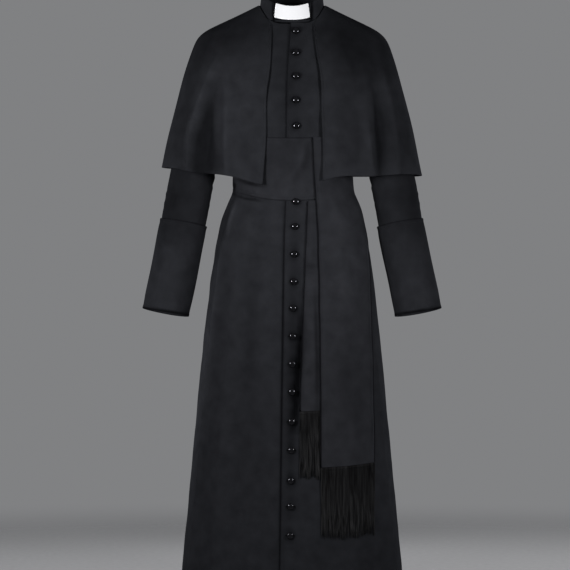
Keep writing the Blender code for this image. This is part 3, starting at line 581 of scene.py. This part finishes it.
SLEEVE_AXIS = np.array([
    # z, x, y of the middle of the wearer's left sleeve, from the cuff up
    (-0.73, 0.301, -0.028),
    (-0.4, 0.237, -0.004),
    (-0.16, 0.19, 0.0),
])


def sleeve_outward(points):
    """Horizontal direction away from the middle of the sleeve."""
    x, y, z = points.T
    heights, axis_x, axis_y = SLEEVE_AXIS.T
    return outward_from(x - np.interp(z, heights, axis_x) * np.sign(x), y - np.interp(z, heights, axis_y))


WRINKLES = [
    # height, its Z, reach, wavelength, slant
    (0.0007, -0.455, 0.035, 0.022, 0.12),     # round the sleeve above its cuff
    (0.0013, -0.4, 0.05, 0.03, 0.0),          # on the inside of the elbow
]


def sleeve_field(points):
    """Fine wrinkles above the cuff and inside the elbow, and slow unevenness."""
    x, _, z = points.T
    away = np.abs(x)
    around, elbow = (height * np.exp(-((z - middle) / reach) ** 2)
                     * np.sin((z + slant * away) * math.tau / pitch)
                     for height, middle, reach, pitch, slant in WRINKLES)
    inside = smooth((ELBOW_X - ELBOW_SLOPE * (z - ELBOW_Z) - away) / ELBOW_REACH)
    return sleeve_outward(points) * (around + inside * elbow + unevenness(points, "sleeve"))[:, None]


def cuff_field(points):
    """The sleeve's own field, a little further out."""
    moved = sleeve_field(points)
    return moved + sleeve_outward(points + moved) * CUFF_LIFT


def collar_field(points):
    return body_outward(points) * crease_sum(points, "collar", HEIGHT)[:, None]


def tab_field(points):
    """The tab is a little smaller than its opening, and its lower edge is cut in a curve."""
    low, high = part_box("collar_tab")
    x, _, z = points.T
    drop = (high.z - z) / (high.z - low.z)
    shift = np.zeros(points.shape)
    shift[:, 0] = -x * lerp(TAB_EASE_TOP, TAB_EASE_FOOT, drop)
    shift[:, 2] = smooth(drop) * (TAB_LIFT + TAB_CURVE * (x / high.x) ** 2)
    return shift


# ---- cloth shells ----
def link(name, mesh, material):
    """An object for a mesh, with one material."""
    thing = bpy.data.objects.new(name, mesh)
    bpy.context.scene.collection.objects.link(thing)
    mesh.materials.clear()
    mesh.materials.append(material)
    return thing


def in_place_of(node, ending, mesh, slot):
    """Piece that is seen instead of its node."""
    mesh.shade_smooth()
    piece = link(f"{node}_{ending}", mesh, MATERIALS[slot])
    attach(piece, "root")
    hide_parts(node)
    return piece


SHELLS = {}
GOES_WITH = {}               # pieces that lie on a piece of cloth, by its node


def goes_with(node, piece):
    GOES_WITH.setdefault(node, []).append(piece)


def lay_on(node, name, mesh, material):
    """Piece that stands for no node and lies on a piece of cloth."""
    mesh.shade_smooth()
    piece = link(name, mesh, material)
    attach(piece, "root")
    goes_with(node, piece)


def mesh_from(name, verts, faces):
    mesh = bpy.data.meshes.new(name)
    mesh.from_pydata(verts, [], faces)
    return mesh


def add_rings(faces, first, count, sides, leftward=False):
    """Faces of a closed tube of rings of points, which turn rightward or leftward round its path."""
    for near in range(first, first + (count - 1) * sides, sides):
        far = near + sides
        for k in range(sides):
            quad = (near + k, near + (k + 1) % sides, far + (k + 1) % sides, far + k)
            faces.append(quad[:1] + quad[:0:-1] if leftward else quad)
    start, end = tuple(range(first, first + sides)), tuple(range(far, far + sides))
    faces += [start, end[::-1]] if leftward else [start[::-1], end]


def values_of(items, name, kind, width=1):
    """What each item of a mesh has under a name."""
    values = np.empty(len(items) * width, dtype=kind)
    items.foreach_get(name, values)
    return values


def coordinates(mesh):
    return values_of(mesh.vertices, "co", float, 3).reshape(-1, 3)


def face_corners(mesh):
    """Index of the point at each corner of the faces."""
    return values_of(mesh.loops, "vertex_index", int)


def row_values(mesh):
    return values_of(mesh.attributes["row"].data, "value", np.float32)


def paint(mesh, name, values):
    """A value for each point of a mesh, which a material reads by its name."""
    layer = mesh.attributes.new(name, "FLOAT", "POINT")
    layer.data.foreach_set("value", np.asarray(values, dtype=np.float32))


def set_uv(mesh, values):
    layer = mesh.uv_layers.new(name="cut")
    layer.data.foreach_set("uv", np.asarray(values, dtype=np.float32).ravel())


def flood(start, rims):
    """Faces reached from a face without crossing a rim."""
    found, waiting = {start}, [start]
    while waiting:
        for edge in waiting.pop().edges:
            onward = [face for face in edge.link_faces if face not in found and edge not in rims]
            found.update(onward)
            waiting += onward
    return found


def outer_skin(mesh, rims, outward):
    """The patch of faces between rims that looks outward the most."""
    best, left = (0.0, set()), set(mesh.faces)
    while left:
        patch = flood(next(iter(left)), rims)
        left -= patch
        middles = np.array([face.calc_center_median() for face in patch])
        ways = outward(middles) + np.array((0.0, 0.0, UPWARD))
        looks = sum(face.calc_area() * face.normal.dot(Vector(way)) for face, way in zip(patch, ways))
        best = max(best, (looks, patch), key=lambda pair: pair[0])
    return best[1]


def chain(start, links, left):
    """Points from a start along their links, taken out of those that are left."""
    line = [start]
    while line[-1] in left:
        left.discard(line[-1])
        line += [point for point in links[line[-1]] if point in left][:1]
    return line


def sides_of(skin, rims):
    """The rim of a skin as runs of points between its corners, and the corners."""
    links = {}
    for edge in rims:
        if sum(face in skin for face in edge.link_faces) == 1:
            for vert in edge.verts:
                links.setdefault(vert, []).append(edge.other_vert(vert))
    runs, corners, left = [], [], set(links)
    while left:
        loop = chain(min(left, key=lambda vert: tuple(vert.co)), links, left)
        turns = [i for i, vert in enumerate(loop) if (loop[i - 1].co - vert.co).angle(
            vert.co - loop[(i + 1) % len(loop)].co, 0.0) > CORNER_ANGLE]
        corners += [loop[i] for i in turns]
        first = turns[0] if turns else 0
        loop = loop[first:] + loop[:first]
        marks = [0] + [i - first for i in turns[1:]] + [len(loop)]
        runs += [(loop + loop[:1])[a:b + 1] for a, b in zip(marks, marks[1:])]
    return runs, corners


def middle_of(run):
    return sum((vert.co for vert in run), Vector()) / len(run)


CHOICES = {
    # name of a side: what is least for the run that is meant
    "low": lambda run: middle_of(run).z,
    "high": lambda run: -middle_of(run).z,
    "centre": lambda run: abs(middle_of(run).x),
    "side": lambda run: -abs(middle_of(run).x),
}


def lap_seams(mesh, rims):
    """Run the seam walls of a panel a little way under its neighbours."""
    away = {}
    for face in mesh.faces:
        face.normal_update()
        if sum(edge in rims for edge in face.edges) >= 2 and abs(face.normal.z) < SEAM_STEEP:
            for vert in face.verts:
                away[vert] = away.get(vert, Vector()) + face.normal
    for vert, way in away.items():
        if way.length > SEAM_LEAST:
            vert.co += way.normalized() * SEAM_LAP


def mark_rows(mesh, skin, rims, stitched, row, corner):
    """Cut a line into a skin along its stitched sides and mark its points. Gives those sides as lines."""
    runs, corners = sides_of(skin, rims)
    chosen = [min(runs, key=CHOICES[choice]) for choice in stitched]
    sides = [np.array([vert.co for vert in run]) for run in chosen]
    side_points = [vert.co.copy() for run in chosen for vert in run]
    corner_points = [vert.co.copy() for vert in corners]
    bmesh.ops.inset_region(mesh, faces=[face for face in mesh.faces if face in skin], thickness=STITCH_INSET,
                           use_even_offset=True, use_boundary=True)
    inner = {vert for face in skin for vert in face.verts}
    for vert in mesh.verts:
        reach = min((vert.co - point).length for point in side_points)
        vert[corner] = float(any((vert.co - point).length < RIM_REACH for point in corner_points))
        vert[row] = float(vert in inner and RIM_REACH < reach < ROW_REACH)
    return sides


def subdivided(node, outward, stitched):
    """Mesh of a node as quads, smoothed by subdivision with its rims kept, and its stitched sides.

    The lines of stitches are marked on its points as "row".
    """
    mesh = bmesh.new()
    mesh.from_mesh(NODES[node].data)
    bmesh.ops.remove_doubles(mesh, verts=mesh.verts, dist=WELD)
    bmesh.ops.join_triangles(mesh, faces=mesh.faces, angle_face_threshold=math.pi,
                             angle_shape_threshold=math.pi)
    row = mesh.verts.layers.float.new("row")
    corner = mesh.verts.layers.float.new("crease_vert")
    crease = mesh.edges.layers.float.new("crease_edge")
    rims = {edge for edge in mesh.edges if edge.calc_face_angle(0.0) > RIM_ANGLE}
    if node.split("_")[0] in SEAMED:
        lap_seams(mesh, rims)
    sides = []
    if stitched:
        sides = mark_rows(mesh, outer_skin(mesh, rims, outward), rims, stitched, row, corner)
    for edge in mesh.edges:
        if edge.calc_face_angle(0.0) > RIM_ANGLE:
            edge[crease] = RIM_CREASE
        elif edge.verts[0][row] == edge.verts[1][row] == 1.0:
            edge[crease] = ROW_CREASE
    base = bpy.data.meshes.new(node)
    mesh.to_mesh(base)
    mesh.free()
    rough = link(node + "_base", base, MATERIALS["wool"])
    rough.modifiers.new("subdivide", "SUBSURF").levels = SHELL_LEVELS
    shape = bpy.data.meshes.new_from_object(rough.evaluated_get(bpy.context.evaluated_depsgraph_get()))
    bpy.data.objects.remove(rough, do_unlink=True)
    return shape, sides


def lay_uv(mesh, middle):
    """UV in metres: round the upright line through a middle in X and down it."""
    points = coordinates(mesh)
    points[:, 0] -= middle
    loops = face_corners(mesh)
    starts = values_of(mesh.polygons, "loop_start", int)
    angle = np.arctan2(points[:, 0], -points[:, 1])[loops]
    first = np.repeat(angle[starts], np.diff(np.append(starts, len(loops))))
    angle += math.tau * np.round((first - angle) / math.tau)
    reach = np.median(np.hypot(points[:, 0], points[:, 1]))
    set_uv(mesh, np.stack([angle * reach, points[loops, 2]], axis=1))


def distance_to(points, line):
    """Distance of each point from a line of points."""
    best = np.full(len(points), np.inf)
    for a, b in zip(line, line[1:]):
        t = np.clip((points - a) @ (b - a) / ((b - a) @ (b - a)), 0.0, 1.0)
        best = np.minimum(best, np.linalg.norm(points - a - t[:, None] * (b - a), axis=1))
    return best


def stitch_lines(mesh):
    """Runs of point indices along the rows."""
    marked = row_values(mesh) > ROW_MARK
    links = {}
    for edge in mesh.edges:
        a, b = edge.vertices
        if marked[a] and marked[b]:
            links.setdefault(a, []).append(b)
            links.setdefault(b, []).append(a)
    lines, left = [], set(links)
    while left:
        ends = [i for i in left if len(links[i]) == 1]
        lines.append(chain(ends[0] if ends else next(iter(left)), links, left))
    return lines


STITCH_RINGS = [
    # share of the stitch's length, radius and height over the cloth as shares of its radius
    (0.0, 0.5, -0.3),
    (0.5, 1.0, 0.7),
    (1.0, 0.5, -0.3),
]
STITCH_TURNS = [(1.0, 0.0), (0.0, 1.0), (-1.0, 0.0), (0.0, -1.0)]    # across the stitch and up


def sew(node, piece):
    """Short raised stitches along the rows of a piece."""
    mesh = piece.data
    points = coordinates(mesh)
    verts, faces = [], []
    for line in stitch_lines(mesh):
        if len(line) < 3:
            continue
        path = points[line]
        normals = np.array([mesh.vertices[i].normal for i in line])
        gone = np.concatenate([[0.0], np.cumsum(np.linalg.norm(np.diff(path, axis=0), axis=1))])
        for at in np.arange(STITCH_STEP / 2.0, gone[-1] - STITCH_LENGTH, STITCH_STEP):
            start, end, up = (Vector([np.interp(place, gone, values[:, k]) for k in range(3)])
                              for place, values in ((at, path), (at + STITCH_LENGTH, path), (at, normals)))
            up.normalize()
            across = up.cross(end - start).normalized()
            first = len(verts)
            for share, swell, rise in STITCH_RINGS:
                middle = start.lerp(end, share) + up * (rise * STITCH_RADIUS)
                verts += [middle + (across * a + up * b) * (STITCH_RADIUS * swell) for a, b in STITCH_TURNS]
            add_rings(faces, first, len(STITCH_RINGS), len(STITCH_TURNS))
    name = node + "_stitches"
    lay_on(node, name, mesh_from(name, verts, faces), THREAD)


CLOTHS = {
    # name: what moves it, which way is outward, its creases, its darkest painted shade
    "body": (body_field, body_outward, "body", -1.35),
    "cape": (cape_field, body_outward, "cape", -1.0),
    "sleeve": (sleeve_field, sleeve_outward, "sleeve", -1.35),
    "cuff": (cuff_field, sleeve_outward, "sleeve", -1.35),
    "collar": (collar_field, body_outward, "collar", -1.35),
    "tab": (tab_field, body_outward, "tab", 0.0),
}
PIECES = [
    # node, slot, cloth, stitched sides, how strongly painted shade darkens their edges, X of the piece's
    # middle
    ("front_left", "wool", "body", ("centre", "low"), 0.85),
    ("front_right", "wool", "body", ("low",), 0.5),
    *[(f"side_{side}", "wool", "body", ("low",), 0.5) for side in SIDES],
    *[(f"back_{side}", "wool", "body", ("low",), 0.5) for side in SIDES],
    *[(f"cape_front_{side}", "wool", "cape", ("centre", "low"), 0.45) for side in SIDES],
    ("cape_back", "wool", "cape", ("low",), 0.45),
    *[(f"sleeve_{side}", "wool", "sleeve", (), 0.0, 0.23 * SIDES[side]) for side in SIDES],
    *[(f"cuff_{side}", "wool", "cuff", ("high", "low"), 0.8, 0.27 * SIDES[side]) for side in SIDES],
    ("collar_band", "wool", "collar"),
    ("collar_tab", "tab", "tab"),
    ("sash_band", "sash", "body", ("high", "low"), 0.65),
    ("tail_outer", "sash", "body", ("centre", "side"), 1.0),
    ("tail_inner", "sash", "body", ("centre", "side"), 0.9),
]


def cloth(node, slot, name, stitched=(), edge_shade_share=0.0, middle=0.0):
    """Shell of one piece of cloth in place of its node, with its rows of stitches."""
    field, outward, creases, darkest = CLOTHS[name]
    mesh, sides = subdivided(node, outward, stitched)
    points = coordinates(mesh)
    if sides:
        near = np.min([distance_to(points, side) for side in sides], axis=0)
        # painted shade along the stitched sides, fading out over the stitch inset
        paint(mesh, "painted_edge_shade", edge_shade_share * np.clip(1.0 - near / STITCH_INSET, 0.0, 1.0))
    sunk = smooth((row_values(mesh) - STITCH_NEAR) / (1.0 - STITCH_NEAR))
    points -= outward(points) * (STITCH_SINK * sunk)[:, None]
    # painted light and shade from the creases' tones
    painted_shading = crease_sum(points, creases, PAINTED_SHADING)
    # painted shadow round the buttons
    if node == "front_left":
        painted_shading += button_shade(points)
    paint(mesh, "painted_shading", np.clip(painted_shading, darkest, 1.0))
    points += field(points)
    mesh.vertices.foreach_set("co", points.astype(np.float32).ravel())
    lay_uv(mesh, middle)
    mesh.update()
    SHELLS[node] = in_place_of(node, "cloth", mesh, slot)
    if stitched:
        sew(node, SHELLS[node])


for piece in PIECES:
    cloth(*piece)


# ---- what lies on the fronts ----
TREES = [BVHTree.FromPolygons([vert.co for vert in SHELLS[node].data.vertices],
                              [face.vertices for face in SHELLS[node].data.polygons])
         for node in ("front_left", "side_left")]


def surface_below(x, z):
    """Outer point and normal of the skirt or chest, straight back from x and z."""
    for tree in TREES:
        point, normal, _, _ = tree.ray_cast(Vector((x, -1.0, z)), Vector((0.0, 1.0, 0.0)))
        if point is not None:
            return point, normal
    raise RuntimeError("no cloth below this point")


# ---- fringes ----
FRINGES = [
    # node, tail, length, stand-off of the ends, seed
    ("fringe_outer", "tail_outer", 0.16, 0.0046, 3),
    ("fringe_inner", "tail_inner", 0.154, 0.0032, 5),
]
HEADER_RING = [(-0.5, 0.0), (0.5, 0.0), (0.5, -1.0), (-0.5, -1.0)]    # shares of its depth and height


def lower_edge(tail, left, right):
    """Points under the lower edge of a tail, from left to right: x, middle y and z."""
    points = coordinates(SHELLS[tail].data)
    edge = []
    for x in np.linspace(left, right, HEADER_POINTS):
        near = points[np.abs(points[:, 0] - x) < EDGE_REACH]
        low = near[near[:, 2] < near[:, 2].min() + EDGE_RISE]
        edge.append((x, low[:, 1].mean(), low[:, 2].min() - HEADER_GAP))
    return np.array(edge)


def add_tube(verts, faces, marks, path, radius, sides):
    """Thin closed tube along a path, with how far round and along it each point lies."""
    first = len(verts)
    gone = 0.0
    for i, place in enumerate(path):
        gone += (place - path[i - 1]).length if i else 0.0
        size = radius * (STRAND_TIP if i == len(path) - 1 else 1.0)
        for k in range(sides):
            turn = math.tau * k / sides
            verts.append(place + Vector((math.cos(turn), math.sin(turn), 0.0)) * size)
            marks.append((turn * radius, gone))
    add_rings(faces, first, len(path), sides, leftward=True)


def add_header(verts, faces, marks, edge):
    """Narrow closed band that follows an edge."""
    for x, y, z in edge:
        for depth, height in HEADER_RING:
            verts.append(Vector((x, y + depth * HEADER_DEPTH, z + height * HEADER_HEIGHT)))
            marks.append((x, z + height * HEADER_HEIGHT))
    add_rings(faces, 0, len(edge), len(HEADER_RING), leftward=True)


def strand(root, length, clump, stand, end_stand, generator):
    """Path of one strand that hangs from its root down the skirt, drawn a little towards its clump."""
    sway, beat = generator.normal(0.0, STRAND_SWAY), generator.uniform(0.0, RANDOM_TURN)
    jitter = generator.uniform(-STRAND_JITTER, STRAND_JITTER)
    path = []
    for i in range(STRAND_STEPS + 1):
        t = i / STRAND_STEPS
        x = root.x + (clump - root.x) * STRAND_PULL * t * t + sway * t * math.sin(beat + STRAND_WAVE * t)
        z = root.z + HEADER_HEIGHT / 2.0 - length * t
        below, _ = surface_below(x, z)
        clear = lerp(stand, end_stand, float(smooth(t * STRAND_SETTLE)))
        path.append(Vector((x, below.y - clear + jitter * t, z)))
    return path


def fringe(node, tail, length, end_stand, seed):
    """Header band and two layers of fine strands in place of a fringe node."""
    generator = np.random.default_rng(seed)
    low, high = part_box(node)
    left, right = low.x + HEADER_INSET, high.x - HEADER_INSET
    edge = lower_edge(tail, left, right)
    verts, faces, marks = [], [], []
    add_header(verts, faces, marks, edge)
    count = round((right - left) / STRAND_PITCH)
    clumps = np.linspace(left, right, round((right - left) / CLUMP_PITCH))
    clumps = clumps + generator.normal(0.0, CLUMP_UNEVEN, len(clumps))
    drops = generator.normal(0.0, STRAND_UNEVEN, len(clumps))
    for layer in (-1.0, 1.0):
        for i in range(count):
            x = left + (i + 0.5 + LAYER_SHIFT * layer) * (right - left) / count
            y, z = np.interp(x, edge[:, 0], edge[:, 1]), np.interp(x, edge[:, 0], edge[:, 2])
            nearest = int(np.argmin(np.abs(clumps - x + generator.normal(0.0, CLUMP_BLUR))))
            root = Vector((x, y, z - HEADER_HEIGHT))
            stand = surface_below(x, root.z)[0].y - y + layer * LAYER_DEPTH
            drop = length + drops[nearest] + generator.normal(0.0, STRAND_UNEVEN)
            path = strand(root, drop, clumps[nearest], stand, end_stand + layer * LAYER_DEPTH, generator)
            add_tube(verts, faces, marks, path, STRAND_RADIUS, STRAND_SIDES)
    data = mesh_from(node, verts, faces)
    set_uv(data, np.array(marks)[face_corners(data)])
    heights = coordinates(data)[:, 2]
    # painted shade near the header, turning to painted light towards the strands' ends
    paint(data, "painted_shading", lerp(*FRINGE_PAINTED_SHADING, (heights.max() - heights) / np.ptp(heights)))
    goes_with(tail, in_place_of(node, "strands", data, "fringe"))


for row in FRINGES:
    fringe(*row)

# ---- buttons ----
BUTTON_BACK = [
    # radius and height of each ring between the shank and the dome, as shares of the button's own
    (0.28, 0.24),
    (0.6, 0.28),
    (0.9, 0.4),
]


def button_profile(shank):
    """Radius and height of each ring: a shank of a given length, a rounded rim and a domed face."""
    turns = [math.radians(lerp(DOME_START, DOME_END, i / DOME_RINGS)) for i in range(DOME_RINGS + 1)]
    dome = [(math.cos(turn), lerp(DOME_BASE, 1.0, math.sin(turn))) for turn in turns]
    rings = [(SHANK_RADIUS, -shank / BUTTON_RISE)] + BUTTON_BACK + dome
    return [(radius * BUTTON_RADIUS, height * BUTTON_RISE) for radius, height in rings]


def button(node):
    """Domed button in the middle of its node's box, turned from the cloth's slope to face ahead."""
    middle = sum(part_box(node), Vector()) / 2.0
    point, slope = surface_below(middle.x, middle.z)
    normal = slope.lerp(Vector((0.0, -1.0, 0.0)), BUTTON_LEVEL).normalized()
    clear = BUTTON_CLEAR * BUTTON_RADIUS * math.sin(slope.angle(normal))
    turns = [math.tau * k / BUTTON_SEGMENTS for k in range(BUTTON_SEGMENTS)]
    profile = button_profile(clear)
    verts = [(radius * math.cos(turn), radius * math.sin(turn), height)
             for radius, height in profile for turn in turns]
    faces = []
    add_rings(faces, 0, len(profile), BUTTON_SEGMENTS)
    data = mesh_from(node, verts, faces)
    rise = BUTTON_RISE * BUTTON_MIDDLE
    centre = Vector((middle.x, min(point.y - rise - clear, middle.y), middle.z))
    turn = normal.to_track_quat("Z", "Y").to_matrix().to_4x4()
    data.transform(Matrix.Translation(centre - normal * rise) @ turn)
    goes_with("front_left", in_place_of(node, "gloss", data, "button"))


def buttonhole(node):
    """Worked edge of a button's hole: a flat loop of thread, longer across the placket."""
    middle = sum(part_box(node), Vector()) / 2.0
    verts, faces, marks, path = [], [], [], []
    for i in range(HOLE_STEPS + 1):
        turn = math.tau * i / HOLE_STEPS
        x, z = middle.x + HOLE_REACH * math.cos(turn), middle.z + HOLE_RISE * math.sin(turn)
        path.append(surface_below(x, z)[0] + Vector((0.0, -HOLE_LIFT, 0.0)))
    add_tube(verts, faces, marks, path, HOLE_THREAD, HOLE_SIDES)
    data = mesh_from(node + "_hole", verts, faces)
    # the thread painted darker still: painted shade round the button
    paint(data, "painted_shading", np.full(len(verts), HOLE_PAINTED_SHADE))
    lay_on("front_left", data.name, data, MATERIALS["fringe"])


for node in sorted(NODES):
    if node.startswith("button_"):
        button(node)
        buttonhole(node)

# ---- stage, light and camera ----
LIGHTS = [
    # name, place, width, height, power, spread in degrees
    ("key_left", (-1.18, -1.55, -0.36), 0.42, 0.42, 7.2, 96.0),
    ("key_right", (1.22, -1.6, -0.4), 0.38, 0.38, 5.1, 96.0),
    ("fill_top", (-0.2, -3.6, 1.6), 4.0, 3.0, 2.0, 180.0),
    ("back_left", (1.9, 2.4, 0.0), 1.2, 1.4, 20.0, 90.0),
    ("back_right", (-2.1, 2.2, 0.1), 1.2, 1.4, 15.0, 90.0),
]


def make_world():
    world = bpy.data.worlds.new("studio")
    world.use_nodes = True
    set_inputs(world.node_tree.nodes["Background"], {"Color": WORLD_COLOUR, "Strength": WORLD_STRENGTH})
    bpy.context.scene.world = world


def make_light(name, place, width, height, power, spread):
    data = bpy.data.lights.new(name, "AREA")
    data.shape = "RECTANGLE"
    data.size, data.size_y, data.energy = width, height, power
    data.spread = math.radians(spread)
    lamp = bpy.data.objects.new(name, data)
    lamp.location = place
    lamp.visible_camera = False
    lamp.rotation_euler = (LIGHT_AIM - lamp.location).to_track_quat("-Z", "Y").to_euler()
    bpy.context.scene.collection.objects.link(lamp)


def make_floor():
    mesh = bmesh.new()
    bmesh.ops.create_circle(mesh, cap_ends=True, segments=FLOOR_SIDES, radius=FLOOR_RADIUS)
    data = bpy.data.meshes.new("floor")
    mesh.to_mesh(data)
    mesh.free()
    floor = link("floor", data, floor_material())
    floor.location.z = FLOOR_HEIGHT


def make_camera():
    data = bpy.data.cameras.new("camera")
    data.sensor_width = SENSOR
    data.lens = SENSOR * VIEW_DISTANCE / (FRAME_PIXELS * PIXEL)
    camera = bpy.data.objects.new("camera", data)
    camera.location = VIEW_CENTRE - Vector((0.0, VIEW_DISTANCE, 0.0))
    camera.rotation_euler = (math.radians(90.0), 0.0, 0.0)
    bpy.context.scene.collection.objects.link(camera)
    bpy.context.scene.camera = camera
    bpy.context.scene.view_settings.view_transform = "Standard"


make_world()
for light in LIGHTS:
    make_light(*light)
make_floor()
make_camera()
